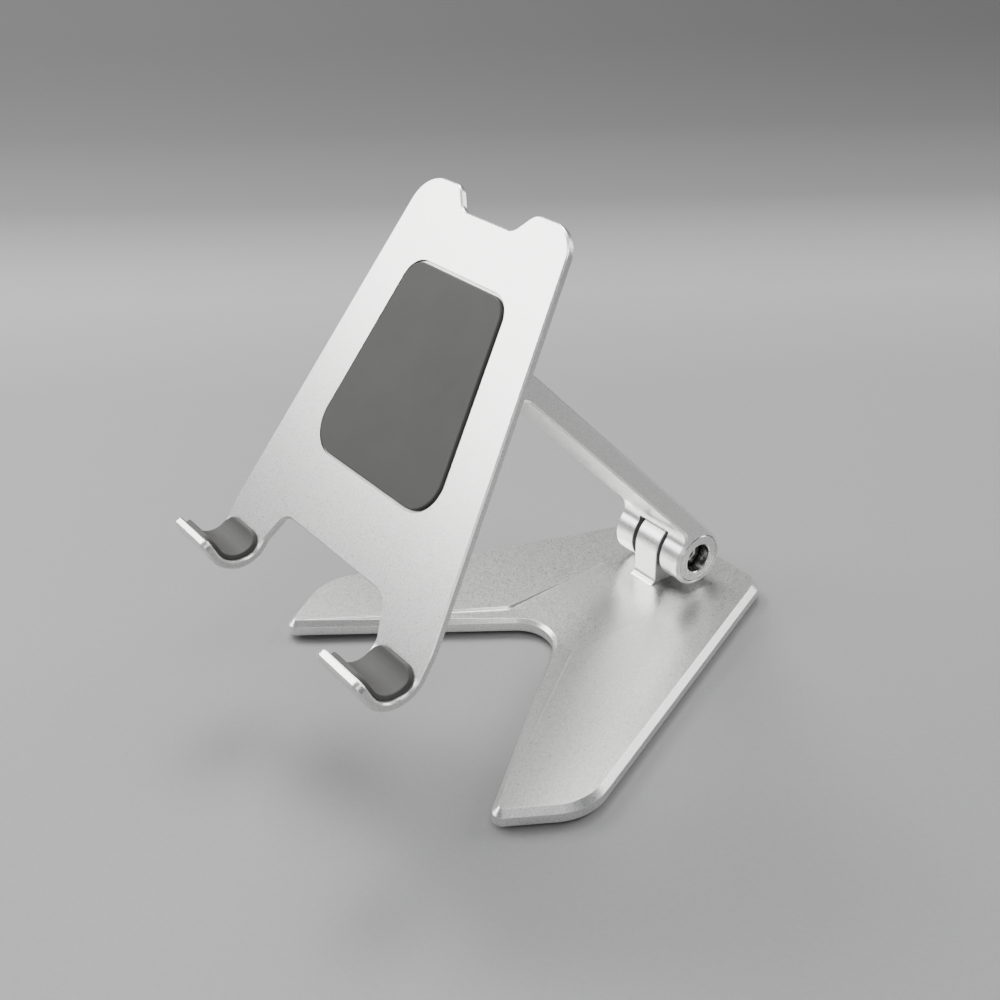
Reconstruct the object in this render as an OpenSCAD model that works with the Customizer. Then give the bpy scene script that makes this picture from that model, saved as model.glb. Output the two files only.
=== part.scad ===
// Folding phone stand: a chevron base, a link arm and a leaning cradle,
// joined by two screw-clamped friction hinges.
// The origin is on the table, straight below the axis of the lower hinge.
// +X is the stand's right, -Y its front, +Z up.

/* [Base] */
// Width across the outer corners
base_w = 100; // [92:1:112]
// Width across the sharp tips of the legs
tip_w = 78.5; // [70:0.5:84]
// Width of the rear edge
rear_w = 37; // [32:1:44]
// Hinge axis to the tips of the legs
tip_reach = 84.4; // [78:0.2:92]
// Hinge axis to the outer corners
corner_reach = 67.6; // [60:0.2:70]
// Hinge axis to the sharp apex of the front notch
notch_reach = 32.5; // [28:0.5:36]
// Hinge axis to the rear edge
rear_reach = 14.7; // [12:0.1:18]
// Thickness of the base plate
base_t = 3.7; // [3.2:0.1:5]
// Bevel round the top of the base
base_bevel = 1.3; // [0.8:0.1:1.5]
// Height of the foot pads below the base
foot_gap = 1; // [0.6:0.1:2]

/* [Hinges] */
// Height of the lower hinge axis
hinge_z = 12.9; // [12.6:0.1:15]
// Diameter of the arm's barrels
barrel_d = 13.8; // [13.4:0.1:14]
// Width of the lug between two barrels
lug_w = 7.2; // [6.6:0.2:7.6]
// Gap between lug and barrel, filled by a friction washer
lug_gap = 1.2; // [1:0.1:1.4]

/* [Arm] */
// Distance between the two hinge axes
arm_len = 86; // [70:1:100]
// Width of the arm
arm_w = 21.5; // [21:0.5:24]
// Thickness of the arm between its barrels
arm_t = 4.7; // [4:0.1:5.2]
// Angle of the arm above the table
arm_angle = 47; // [40:1:60]

/* [Cradle] */
// Lean of the cradle from upright
recline = 34.5; // [25:0.5:45]
// Thickness of the cradle sheet
sheet_t = 1.8; // [1.6:0.1:2]
// Upper hinge axis to the cradle's front face
face_reach = 10.2; // [10:0.1:11]
// Upper hinge axis to the top edge
top_reach = 31.7; // [28:0.1:40]
// Width at the top edge, between sharp corners
top_w = 45; // [44:1:50]
// Width across the two hooks
hooks_w = 71; // [68:0.5:76]
// Width of one hook
hook_w = 14.4; // [13:0.2:16]
// Inner radius of the hook's bend
hook_r = 5.4; // [5:0.1:6.5]
// Angle of the hook's lip above square to the sheet
lip_angle = 32; // [20:1:40]
// Straight length of the hook's lip
lip_len = 4; // [4:0.5:12]

/* [Pads] */
// Width of the large pad at its top
pad_top_w = 29.6; // [26:0.2:32]
// Width of the large pad at its bottom
pad_bottom_w = 42.4; // [38:0.2:44]
// Thickness of the large pad
pad_t = 0.9; // [0.7:0.1:1.2]
// Thickness of the hook pads
hook_pad_t = 1; // [0.6:0.1:1.4]

/* [Hidden] */
$fn = 64;
eps = 0.01;
arc_steps = 8;

// Colours
aluminium = [0.80, 0.80, 0.79];
turned = [0.86, 0.86, 0.85];
steel = [0.45, 0.44, 0.42];
silicone = [0.40, 0.40, 0.39];
rubber = [0.13, 0.13, 0.13];
polymer = [0.20, 0.20, 0.21];

// Base
base_top = foot_gap + base_t;
notch_round = 8.5;
tip_round = 2.2;
corner_round = 13;
rear_round = 6;
// The recess runs forward from the lug and along the inner edges of the legs, and fades out near the tips
recess_depth = 0.5;
recess_start_reach = 9;
recess_deepest_reach = 38;
recess_fade_reach = 73;
recess_half = arm_w / 2 + 0.3;
recess_bend_reach = 39.8;
recess_round = 4;
recess_end = [38.4, 81.3];
foot_sink = 0.5;
foot_fit = 0.1;
foot_r = 3.5;
rear_foot_r = 4;
rear_foot_half = 9;
foot_from = [24, -36];
foot_to = [38, -68];

// Hinges
barrel_r = barrel_d / 2;
lug_fillet = 1.8;
lug_fillet_sink = 0.02;
cap_r = 6;
cap_depth = 4.15;
neck_r = 4.5;
press = 0.02;
head_r = 3.5;
head_hole_r = 3.55;
head_t = 2.15;
head_sink = 3;
socket_af = 2.5;
socket_depth = 1.4;
bolt_r = 2;
bolt_hole_r = 2.1;
bolt_len = 14;
sleeve_r = 3;
sleeve_len = 9.2;
bush_r = 4;
running = 0.05;
washer_r = 5.25;
washer_hole_r = 3.1;
washer_fit = 0.05;
barrel_in = lug_w / 2 + lug_gap;
face_x = arm_w / 2;
seat_x = face_x - head_sink - head_t;

// Arm, in its own frame: s runs up the arm and k points to its underside
under_k = arm_t - barrel_r;
arm_fillet = 3.6;
arm_bevel = 0.5;
slot_reach = 7.7;
fillet_s = sqrt(pow(barrel_r + arm_fillet, 2) - pow(under_k + arm_fillet, 2));

// Cradle, in its own frame: w runs up the sheet and n points to its front
sheet_bevel = 0.3;
back_bevel = 0.4;
top_round = 7;
dip_depth = 4.4;
dip_half = 7.6;
dip_top_half = 11.4;
dip_round = 3.2;
taper_end_w = -45;
gap_top_w = -41.7;
gap_top_half = 17.9;
gap_round = 4;
gap_end_w = -49;
gap_end_round = 2;
taper_round = 12;
bend_w = -49.7;
hook_out = hooks_w / 2;
hook_in = hook_out - hook_w;
hook_mid = hook_out - hook_w / 2;
lip_round = 2;
pad_high = 15.9;
pad_low = -26.5;
pad_top_round = 5;
pad_bottom_round = 7;
pad_sink = 0.5;
pad_fit = 0.2;
pad_bevel = 0.3;
hook_pad_w = 12.2;
hook_pad_top_w = -48.8;
hook_pad_round = 3.2;
hook_pad_fit = 0.03;
hook_pad_margin = 0.7;
hook_pad_first = 3;
lug_screw_w = 4.2;
lug_screw_r = 1.25;
lug_screw_head_r = 2.3;
lug_screw_depth = 3.8;
lug_screw_fit = 0.03;
lug_screw_socket_r = 0.9;
lug_screw_socket_t = 0.7;
// The hooks' bend, and its length on the unrolled sheet
bend_angle = 90 + lip_angle;
bend_run = hook_r * bend_angle * PI / 180;
bend_steps = 12;

// Vectors and outlines
function unit(v) = v / norm(v);
function left_of(v) = [-v.y, v.x];
function wrap(list, i) = list[(i + len(list)) % len(list)];
function arc(centre, r, from, sweep, steps = arc_steps) =
    [for (i = [0:steps]) centre + r * [cos(from + sweep * i / steps), sin(from + sweep * i / steps)]];

// Corner b between a and c, with radius r
function round_corner(a, b, c, r) =
    let (u = unit(a - b), v = unit(c - b),
         half = acos(u * v) / 2,
         centre = b + unit(u + v) * r / sin(half),
         p = b + u * r / tan(half) - centre,
         q = b + v * r / tan(half) - centre,
         from = atan2(p.y, p.x),
         sweep = (atan2(q.y, q.x) - from + 540) % 360 - 180)
    arc(centre, r, from, sweep);

// Corner b of an anticlockwise outline, moved inwards by d
function inset_corner(a, b, c, d) =
    let (m = left_of(unit(b - a)), n = left_of(unit(c - b)))
    b + d * (m + n) / (1 + m * n);

// Anticlockwise outline with rounded corners, moved inwards by d; a corner of radius 0 stays sharp
function outline(corners, radii, d = 0) =
    let (count = len(corners),
         moved = [for (i = [0:count - 1])
             inset_corner(wrap(corners, i - 1), corners[i], wrap(corners, i + 1), d)])
    [for (i = [0:count - 1])
        let (a = wrap(corners, i - 1), b = corners[i], c = wrap(corners, i + 1),
             side = sign(cross(b - a, c - b)))
        each radii[i] == 0 ? [moved[i]] :
            round_corner(wrap(moved, i - 1), moved[i], wrap(moved, i + 1), radii[i] - side * d)];

// Right half of an outline followed by its mirror image
function mirrored(half) =
    concat(half, [for (i = [len(half) - 1:-1:0]) [-half[i].x, half[i].y]]);
function doubled(half) = concat(half, [for (i = [len(half) - 1:-1:0]) half[i]]);

function at_height(points, z) = [for (p = points) [p.x, p.y, z]];

// A list of point numbers turned the other way round, from the same first point
function flipped(list) = [list[0], each [for (i = [len(list) - 1:-1:1]) list[i]]];
// The same panel on the other side, where point i of count faces point pair - i
function other_side(panel, pair, count) = flipped([for (i = panel) (pair - i + count) % count]);
function from_to(first, last) = [for (i = [first:last]) i];

// Solid through a stack of rings with equal point counts, lowest ring first.
// The panels are the point numbers of the flat pieces that close its ends, each a fan from its first point.
module ring_stack(rings, panels = []) {
    n = len(rings[0]);
    m = len(rings);
    ends = len(panels) > 0 ? panels : [from_to(0, n - 1)];
    polyhedron(
        points = [for (ring = rings) each ring],
        faces = concat(
            ends,
            [for (end = ends) [for (i = flipped(end)) (m - 1) * n + i]],
            [for (k = [0:m - 2], i = [0:n - 1])
                [k * n + i, (k + 1) * n + i, (k + 1) * n + (i + 1) % n, k * n + (i + 1) % n]]));
}

// Slab between z0 and z1 with bevelled edges
module bevelled_slab(corners, radii, z0, z1, low, high, panels = []) {
    ring_stack(concat(
        low > 0 ? [at_height(outline(corners, radii, low), z0)] : [],
        [at_height(outline(corners, radii), z0 + low)],
        [at_height(outline(corners, radii), z1 - high)],
        high > 0 ? [at_height(outline(corners, radii, high), z1)] : []), panels);
}

// Frames of the arm and of the cradle, both on their hinge axes
module arm_frame() {
    translate([0, 0, hinge_z]) rotate([180 - arm_angle, 0, 0]) children();
}
module upper_axis() {
    translate([0, -arm_len * cos(arm_angle), hinge_z + arm_len * sin(arm_angle)]) children();
}
module cradle_frame() {
    upper_axis() rotate([90 - recline, 0, 0]) children();
}

// Prism along X between -half and half, from a profile in the (y, z) plane
module across(half) {
    rotate([90, 0, 90]) translate([0, 0, -half]) linear_extrude(2 * half) children();
}
module along_x(r, from, to) {
    translate([from, 0, 0]) rotate([0, 90, 0]) cylinder(r = r, h = to - from);
}

// Straight strip with round ends
module strip(from, to, r, z0, z1) {
    run = to - from;
    turn = atan2(run.y, run.x);
    translate([0, 0, z0]) linear_extrude(z1 - z0)
        polygon(concat(arc(from, r, turn + 90, 180), arc(to, r, turn - 90, 180)));
}

// Base ---------------------------------------------------------------

base_half = [
    [tip_w / 2, -tip_reach], [base_w / 2, -corner_reach], [rear_w / 2, rear_reach]
];
base_corners = concat([[0, -notch_reach]], mirrored(base_half));
base_radii = concat([notch_round], doubled([tip_round, corner_round, rear_round]));
corner_points = arc_steps + 1;
base_points = corner_points * len(base_corners);
notch_middle = arc_steps / 2;
rear_right = corner_points * (1 + len(base_half)) - 1;
base_right = concat([rear_right], from_to(notch_middle, rear_right - 1));
base_panels = [
    base_right, other_side(base_right, arc_steps, base_points),
    [rear_right, rear_right + 1, notch_middle]
];

recess_half_plan = [
    [recess_end.x, -recess_end.y], [recess_half, -recess_bend_reach], [recess_half, 0]
];
module recess() {
    intersection() {
        translate([0, 0, foot_gap]) linear_extrude(2 * base_t)
            polygon(outline(mirrored(recess_half_plan), doubled([0, recess_round, 0])));
        across(base_w) polygon([
            [-recess_start_reach, base_top],
            [-recess_deepest_reach, base_top - recess_depth],
            [-recess_fade_reach, base_top],
            [-recess_fade_reach, base_top + base_t],
            [-recess_start_reach, base_top + base_t]
        ]);
    }
}

module lug_profile(foot) {
    circle(r = barrel_r);
    translate([-barrel_r, -foot]) square([barrel_d, foot]);
}

module lug_foot_fillet(side) {
    centre = [side * (barrel_r + lug_fillet), base_top + lug_fillet - lug_fillet_sink];
    polygon(concat(
        arc(centre, lug_fillet, side > 0 ? 180 : 0, side * 90),
        [[centre.x, base_top - base_bevel],
         [side * (barrel_r - 1), base_top - base_bevel],
         [side * (barrel_r - 1), centre.y]]));
}

module leg_feet(r, z0, z1, side) {
    strip([side * foot_from.x, foot_from.y], [side * foot_to.x, foot_to.y], r, z0, z1);
}

module base_plate() {
    color(aluminium) difference() {
        union() {
            difference() {
                bevelled_slab(base_corners, base_radii, foot_gap, base_top, 0, base_bevel, base_panels);
                recess();
            }
            across(lug_w / 2) {
                translate([0, hinge_z]) lug_profile(hinge_z - base_top + base_bevel);
                for (side = [-1, 1]) lug_foot_fillet(side);
            }
        }
        translate([0, 0, hinge_z]) along_x(bush_r, -lug_w, lug_w);
        for (side = [-1, 1]) leg_feet(foot_r + foot_fit, -eps, foot_gap + foot_sink, side);
        strip([-rear_foot_half, 0], [rear_foot_half, 0], rear_foot_r + foot_fit, -eps, foot_gap + foot_sink);
    }
}

module foot_rear() {
    color(rubber)
        strip([-rear_foot_half, 0], [rear_foot_half, 0], rear_foot_r, 0, foot_gap + foot_sink);
}
module foot_left() { color(rubber) leg_feet(foot_r, 0, foot_gap + foot_sink, -1); }
module foot_right() { color(rubber) leg_feet(foot_r, 0, foot_gap + foot_sink, 1); }

// Arm ----------------------------------------------------------------

barrel_steps = 3 * arc_steps;

// Dog-bone profile in (s, k), anticlockwise, moved inwards by d
function arm_outline(d) =
    let (fillet_k = under_k + arm_fillet,
         lean = atan2(fillet_k, fillet_s),
         r = barrel_r - d,
         bend_r = arm_fillet + d)
    concat(
        arc([arm_len, 0], r, -90, 270 - lean, barrel_steps),
        arc([arm_len - fillet_s, fillet_k], bend_r, -lean, lean - 90),
        arc([fillet_s, fillet_k], bend_r, -90, lean - 90),
        arc([0, 0], r, lean, 270 - lean, barrel_steps));
arm_half_points = barrel_steps + arc_steps + 2;
arm_last = 2 * arm_half_points - 1;
arm_panels = [
    from_to(0, arm_half_points - 1),
    concat([arm_last], from_to(arm_half_points, arm_last - 1)),
    [0, arm_half_points - 1, arm_half_points, arm_last]
];

module arm() {
    color(aluminium) arm_frame() difference() {
        rotate([90, 0, 90]) ring_stack([
            at_height(arm_outline(arm_bevel), -face_x),
            at_height(arm_outline(0), -face_x + arm_bevel),
            at_height(arm_outline(0), face_x - arm_bevel),
            at_height(arm_outline(arm_bevel), face_x)
        ], arm_panels);
        for (s = [slot_reach - arm_len, arm_len - slot_reach])
            translate([-barrel_in, s, -barrel_d]) cube([2 * barrel_in, arm_len, 2 * barrel_d]);
        for (s = [0, arm_len]) translate([0, s, 0]) {
            along_x(neck_r, -arm_w, arm_w);
            for (side = [-1, 1]) scale_x(side) along_x(cap_r, face_x - cap_depth, arm_w);
        }
    }
}

// Hinge hardware, on the hinge axis ------------------------------------

module scale_x(side) {
    rotate([0, 0, side > 0 ? 0 : 180]) children();
}

module cap_blank() {
    along_x(cap_r - press, face_x - cap_depth, face_x);
    along_x(neck_r - press, barrel_in + washer_fit, face_x - cap_depth + eps);
}

module hinge_screw() {
    color(steel) difference() {
        union() {
            along_x(head_r, seat_x, seat_x + head_t);
            along_x(bolt_r, seat_x - bolt_len, seat_x + eps);
        }
        along_x(socket_af / sqrt(3), seat_x + head_t - socket_depth, face_x, $fn = 6);
    }
}
module hinge_cap() {
    color(turned) difference() {
        cap_blank();
        along_x(head_hole_r, seat_x, arm_w);
        along_x(bolt_hole_r, 0, arm_w);
    }
}
module hinge_nut() {
    color(turned) difference() {
        scale_x(-1) cap_blank();
        along_x(bolt_r + press, -face_x + 1, 0);
    }
}
module hinge_sleeve() {
    color(steel) difference() {
        along_x(sleeve_r, -sleeve_len / 2, sleeve_len / 2);
        along_x(bolt_hole_r, -arm_w, arm_w);
    }
}
module hinge_bush() {
    color(polymer) difference() {
        along_x(bush_r - press, -lug_w / 2, lug_w / 2);
        along_x(sleeve_r + running, -arm_w, arm_w);
    }
}
module hinge_washer(side) {
    color(polymer) scale_x(side) difference() {
        along_x(washer_r, lug_w / 2 + washer_fit, barrel_in - washer_fit);
        along_x(washer_hole_r, 0, arm_w);
    }
}

module on_lower() {
    translate([0, 0, hinge_z]) children();
}
module lower_screw() { on_lower() hinge_screw(); }
module lower_cap() { on_lower() hinge_cap(); }
module lower_nut() { on_lower() hinge_nut(); }
module lower_sleeve() { on_lower() hinge_sleeve(); }
module lower_bush() { on_lower() hinge_bush(); }
module lower_washer_left() { on_lower() hinge_washer(-1); }
module lower_washer_right() { on_lower() hinge_washer(1); }
module upper_screw() { upper_axis() hinge_screw(); }
module upper_cap() { upper_axis() hinge_cap(); }
module upper_nut() { upper_axis() hinge_nut(); }
module upper_sleeve() { upper_axis() hinge_sleeve(); }
module upper_bush() { upper_axis() hinge_bush(); }
module upper_washer_left() { upper_axis() hinge_washer(-1); }
module upper_washer_right() { upper_axis() hinge_washer(1); }

// Cradle --------------------------------------------------------------

// Unrolled strip round the bend, between x0 and x1, down one side and up the other.
// Its sides have a point at each station of the bend, from station first on.
function hook_blank(x0, x1, length, first = 0) =
    let (end = bend_w - bend_run - length,
         stations = [for (k = [first:bend_steps]) bend_w - bend_run * k / bend_steps],
         last = len(stations) - 1)
    concat([for (w = stations) [x0, w]], [[x0, end], [x1, end]], [for (i = [last:-1:0]) [x1, stations[i]]]);
function hook_radii(r, first = 0) =
    let (side = [for (k = [first:bend_steps]) 0])
    concat(side, [r, r], side);
function hook_points(first = 0) = 2 * (bend_steps - first + 1 + arc_steps + 1);

// Point of the unrolled sheet, carried round the bend at height h in front of the sheet
function bent(p, h) =
    let (run = bend_w - p.y,
         angle = bend_angle * min(1, run / bend_run),
         past = max(0, run - bend_run),
         r = hook_r - h)
    run <= 0 ? [p.x, p.y, face_reach + h] :
        [p.x, bend_w - r * sin(angle) - past * cos(angle),
         face_reach + hook_r - r * cos(angle) + past * sin(angle)];

// Flat pieces across a strip of count points that starts at point number first
function rungs(first, count) =
    [for (i = [0:count / 2 - 2])
        [first + i, first + i + 1, first + count - 2 - i, first + count - 1 - i]];

// Slab of the unrolled outline between heights h0 and h1, with bevelled edges
module bent_slab(corners, radii, h0, h1, low, high, panels) {
    levels = concat(
        low > 0 ? [[low, h0]] : [],
        [[0, h0 + low], [0, h1 - high]],
        high > 0 ? [[high, h1]] : []);
    ring_stack([for (level = levels)
        [for (p = outline(corners, radii, level[0])) bent(p, level[1])]], panels);
}

sheet_low = [[gap_top_half, gap_top_w], [hook_in, gap_end_w]];
sheet_high = [
    [hook_out, taper_end_w], [top_w / 2, top_reach],
    [dip_top_half, top_reach], [dip_half, top_reach - dip_depth]
];
sheet_half = concat(sheet_low, hook_blank(hook_in, hook_out, lip_len), sheet_high);
sheet_radii = doubled(concat(
    [gap_round, gap_end_round], hook_radii(lip_round),
    [taper_round, top_round, dip_round, dip_round]));
right_hook = len(sheet_low) * corner_points;
hook_end = right_hook + hook_points() - 1;
taper_last = hook_end + corner_points;
sheet_half_points = hook_end + 1 + len(sheet_high) * corner_points;
sheet_points = 2 * sheet_half_points;
sheet_right = [
    concat([taper_last + 1], from_to(0, right_hook), from_to(hook_end, taper_last)),
    concat([0], from_to(taper_last + 1, sheet_half_points - 1)),
    each rungs(right_hook, hook_points())
];
sheet_panels = concat(
    sheet_right,
    [for (panel = sheet_right) other_side(panel, sheet_points - 1, sheet_points)],
    [[0, sheet_half_points - 1, sheet_half_points, sheet_points - 1]]);

pad_half = [[pad_bottom_w / 2, pad_low], [pad_top_w / 2, pad_high]];
pad_radii = doubled([pad_bottom_round, pad_top_round]);

module lug_screw_axes() {
    for (w = [-lug_screw_w, lug_screw_w]) translate([0, w, face_reach - pad_sink]) children();
}
module lug_screw(fit) {
    head_t = lug_screw_head_r - lug_screw_r;
    translate([0, 0, -head_t]) cylinder(r1 = lug_screw_r + fit, r2 = lug_screw_head_r + fit, h = head_t);
    reach = sheet_t - pad_sink + lug_screw_depth;
    translate([0, 0, -reach - fit]) cylinder(r = lug_screw_r + fit, h = reach);
}

module cradle_plate() {
    color(aluminium) cradle_frame() difference() {
        bent_slab(mirrored(sheet_half), sheet_radii, -sheet_t, 0, back_bevel, sheet_bevel, sheet_panels);
        translate([0, 0, face_reach - pad_sink]) linear_extrude(sheet_t)
            polygon(outline(mirrored(pad_half), pad_radii, -pad_fit));
        lug_screw_axes() lug_screw(lug_screw_fit);
    }
}
module cradle_lug() {
    color(aluminium) cradle_frame() difference() {
        across(lug_w / 2) rotate([0, 0, 180]) lug_profile(face_reach - sheet_t);
        along_x(bush_r, -lug_w, lug_w);
        lug_screw_axes() lug_screw(lug_screw_fit);
    }
}
module lug_screws() {
    color(steel) cradle_frame() lug_screw_axes() difference() {
        lug_screw(0);
        translate([0, 0, -lug_screw_socket_t])
            cylinder(r = lug_screw_socket_r, h = sheet_t, $fn = 6);
    }
}
module cradle_pad() {
    z0 = face_reach - pad_sink;
    color(silicone) cradle_frame()
        bevelled_slab(mirrored(pad_half), pad_radii, z0, z0 + pad_t, 0, pad_bevel);
}
module hook_pad(middle) {
    x0 = middle - hook_pad_w / 2;
    x1 = middle + hook_pad_w / 2;
    color(silicone) cradle_frame() bent_slab(
        concat([[x0, hook_pad_top_w]],
            hook_blank(x0, x1, lip_len - hook_pad_margin, hook_pad_first), [[x1, hook_pad_top_w]]),
        concat([hook_pad_round], hook_radii(hook_pad_round, hook_pad_first), [hook_pad_round]),
        hook_pad_fit, hook_pad_t, 0, pad_bevel,
        rungs(0, hook_points(hook_pad_first) + 2 * (arc_steps + 1)));
}
module hook_pad_left() { hook_pad(-hook_mid); }
module hook_pad_right() { hook_pad(hook_mid); }

base_plate();
foot_rear();
foot_left();
foot_right();
arm();
cradle_plate();
cradle_lug();
lug_screws();
cradle_pad();
hook_pad_left();
hook_pad_right();
lower_screw();
lower_cap();
lower_nut();
lower_sleeve();
lower_bush();
lower_washer_left();
lower_washer_right();
upper_screw();
upper_cap();
upper_nut();
upper_sleeve();
upper_bush();
upper_washer_left();
upper_washer_right();
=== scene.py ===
"""Looks of the folding phone stand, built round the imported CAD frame.

Shapes are worked out in millimetres in the frame's own axes (+X right, -Y front, +Z up, origin on the
table below the lower hinge) and turned into metres when the mesh is made.
"""

import math

import bmesh
import bpy
from mathutils import Matrix, Vector


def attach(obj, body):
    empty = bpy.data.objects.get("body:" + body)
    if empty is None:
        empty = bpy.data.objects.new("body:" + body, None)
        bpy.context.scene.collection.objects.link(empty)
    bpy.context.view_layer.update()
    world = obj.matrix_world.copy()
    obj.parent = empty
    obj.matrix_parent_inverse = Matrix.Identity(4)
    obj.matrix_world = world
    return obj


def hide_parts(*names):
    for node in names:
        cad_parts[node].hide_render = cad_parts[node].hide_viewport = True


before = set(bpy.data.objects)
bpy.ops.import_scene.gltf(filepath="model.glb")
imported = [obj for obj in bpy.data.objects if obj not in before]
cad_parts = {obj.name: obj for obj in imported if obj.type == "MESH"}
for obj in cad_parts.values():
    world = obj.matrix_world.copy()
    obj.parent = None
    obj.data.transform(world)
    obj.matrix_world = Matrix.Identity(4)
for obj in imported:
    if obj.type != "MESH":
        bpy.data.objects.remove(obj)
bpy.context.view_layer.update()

MM = 0.001

# Base, in mm. A reach is a distance forwards of the lower hinge, or backwards for REAR_REACH.
BASE_W, TIP_W, REAR_W = 100.0, 78.5, 37.0
TIP_REACH, CORNER_REACH, NOTCH_REACH, REAR_REACH = 84.4, 67.6, 32.5, 14.7
FOOT_GAP, BASE_TOP, BASE_BEVEL, UNDER_BEVEL = 1.0, 4.7, 1.3, 0.3
NOTCH_ROUND, TIP_ROUND, CORNER_ROUND, REAR_ROUND = 8.5, 2.2, 13.0, 6.0
RECESS_DEPTH, RECESS_HALF = 0.5, 11.05
RECESS_START, RECESS_DEEPEST, RECESS_BEND, RECESS_ROUND = 9.0, 38.0, 39.8, 4.0
RECESS_END = (38.4, -81.3)
FOOT_SINK, FOOT_FIT, FOOT_EDGE, FOOT_R = 0.5, 0.1, 0.3, 3.5
REAR_FOOT_R, REAR_FOOT_HALF = 4.0, 9
FOOT_FROM, FOOT_TO = (24, -36), (38, -68)

# Hinges, in mm
HINGE_Z, BARREL_R, LUG_HALF, LUG_FILLET = 12.9, 6.9, 3.6, 1.8
BARREL_IN, FACE_X = 4.8, 10.75
CAP_R, CAP_DEPTH, NECK_R, HEAD_HOLE_R, BOLT_HOLE_R = 6.0, 4.15, 4.5, 3.55, 2.1
CAP_FIT, CAP_EDGE, HOLE_EDGE = 0.06, 0.2, 0.22
DIMPLE_R, DIMPLE_END_R, DIMPLE_DEPTH = 0.9, 0.35, 0.45
HEAD_R, HEAD_T, HEAD_SINK, BOLT_R, BOLT_LEN = 3.5, 2.15, 3.0, 2.0, 14.0
BOLT_EDGE, THREAD_FIT, NUT_END_T = 0.3, 0.03, 1.2
# (drop, inset) pairs round the head's rim, and (drop, widening) pairs round its socket's mouth
HEAD_RIM = ((0.35, 0.0), (0.1, 0.12), (0.0, 0.4))
SOCKET_MOUTH = ((0.0, 0.45), (0.12, 0.3))
SOCKET_AF, SOCKET_TOP, SOCKET_DEPTH = 2.5, 0.2, 1.4
SLEEVE_R, SLEEVE_HALF, BUSH_R, WASHER_R, WASHER_HOLE_R = 3.0, 4.6, 4.0, 5.25, 3.1
PRESS, RUNNING, SMALL_EDGE, BUSH_EDGE = 0.02, 0.05, 0.15, 0.18
SEAT_X = FACE_X - HEAD_SINK - HEAD_T

# Arm, in mm
ARM_LEN, ARM_T, ARM_FILLET, ARM_BEVEL, SLOT_REACH = 86.0, 4.7, 3.6, 0.5, 7.7
ARM_ANGLE = math.radians(47)
RIM_CHAMFER, RIM_OVER = 0.12, 0.2

# Cradle, in mm. Heights called W run up the sheet from the upper hinge.
RECLINE = math.radians(34.5)
SHEET_T, FACE_REACH, TOP_REACH, TOP_W = 1.8, 10.2, 31.7, 45.0
SHEET_BEVEL, BACK_BEVEL, TOP_ROUND = 0.3, 0.4, 7
DIP_DEPTH, DIP_HALF, DIP_TOP_HALF, DIP_ROUND = 4.4, 7.6, 11.4, 3.2
GAP_TOP_HALF, GAP_TOP_W, GAP_END_W, GAP_ROUND, GAP_END_ROUND = 17.9, -41.7, -49.0, 4, 2
TAPER_END_W, TAPER_ROUND = -45, 12
HOOK_OUT, HOOK_W, HOOK_R, LIP_LEN, LIP_ROUND = 35.5, 14.4, 5.4, 4.0, 2.0
HOOK_IN = HOOK_OUT - HOOK_W
BEND_ANGLE = math.radians(90 + 32)
BEND_W = -49.7
BEND_RUN = HOOK_R * BEND_ANGLE
PAD_TOP, PAD_BOTTOM, PAD_ROUNDS = (14.8, 15.9), (21.2, -26.5), (7.0, 5.0)
PAD_SINK, PAD_FIT, PAD_GAP, PAD_T, PAD_EDGE = 0.5, 0.2, 0.35, 0.9, 0.3
HOOK_PAD_HALF, HOOK_PAD_T, HOOK_PAD_TOP, HOOK_PAD_ROUND = 6.1, 1.0, -48.8, 3.2
HOOK_PAD_FIT, HOOK_PAD_MARGIN = 0.03, 0.7
LUG_SCREW_W, LUG_SCREW_R, LUG_SCREW_HEAD_R, LUG_SCREW_DEPTH = 4.2, 1.25, 2.3, 3.8
LUG_SCREW_FIT, LUG_SCREW_AF, LUG_SOCKET_TOP, LUG_SOCKET_DEPTH = 0.03, 1.6, 0.02, 0.7

# Points along each curve
ARC_STEPS, BEND_STEPS, ROUND_POINTS = 20, 36, 96
RECESS_STEPS, RECESS_NEAR_STEPS, RECESS_FAR_STEPS = 10, 8, 16
LUG_STEPS, LUG_FILLET_STEPS, FOOT_STEPS = 48, 12, 16
ARM_STEPS, ARM_FILLET_STEPS, SCREW_POINTS = 64, 14, 48
# A hook pad's strip leaves out this many of the bend's first steps
HOOK_PAD_FIRST = 10

# How far a cutting tool stands out of what it cuts, and the least radius of an inset corner, in mm
OVERSHOOT = 1
LEAST_ROUND = 0.02

# ---------------------------------------------------------------- outlines


def unit(v):
    return v / v.length


def arc(centre, r, start, sweep, steps):
    """Points on an arc, angles in radians."""
    return [
        Vector((centre[0] + r * math.cos(a), centre[1] + r * math.sin(a)))
        for a in (start + sweep * i / steps for i in range(steps + 1))
    ]


def round_corner(a, b, c, r, steps):
    u, v = unit(a - b), unit(c - b)
    half = math.acos(max(-1.0, min(1.0, u.dot(v)))) / 2
    centre = b + unit(u + v) * r / math.sin(half)
    p = b + u * r / math.tan(half) - centre
    q = b + v * r / math.tan(half) - centre
    start = math.atan2(p.y, p.x)
    sweep = (math.atan2(q.y, q.x) - start + 3 * math.pi) % (2 * math.pi) - math.pi
    return arc(centre, r, start, sweep, steps)


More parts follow.
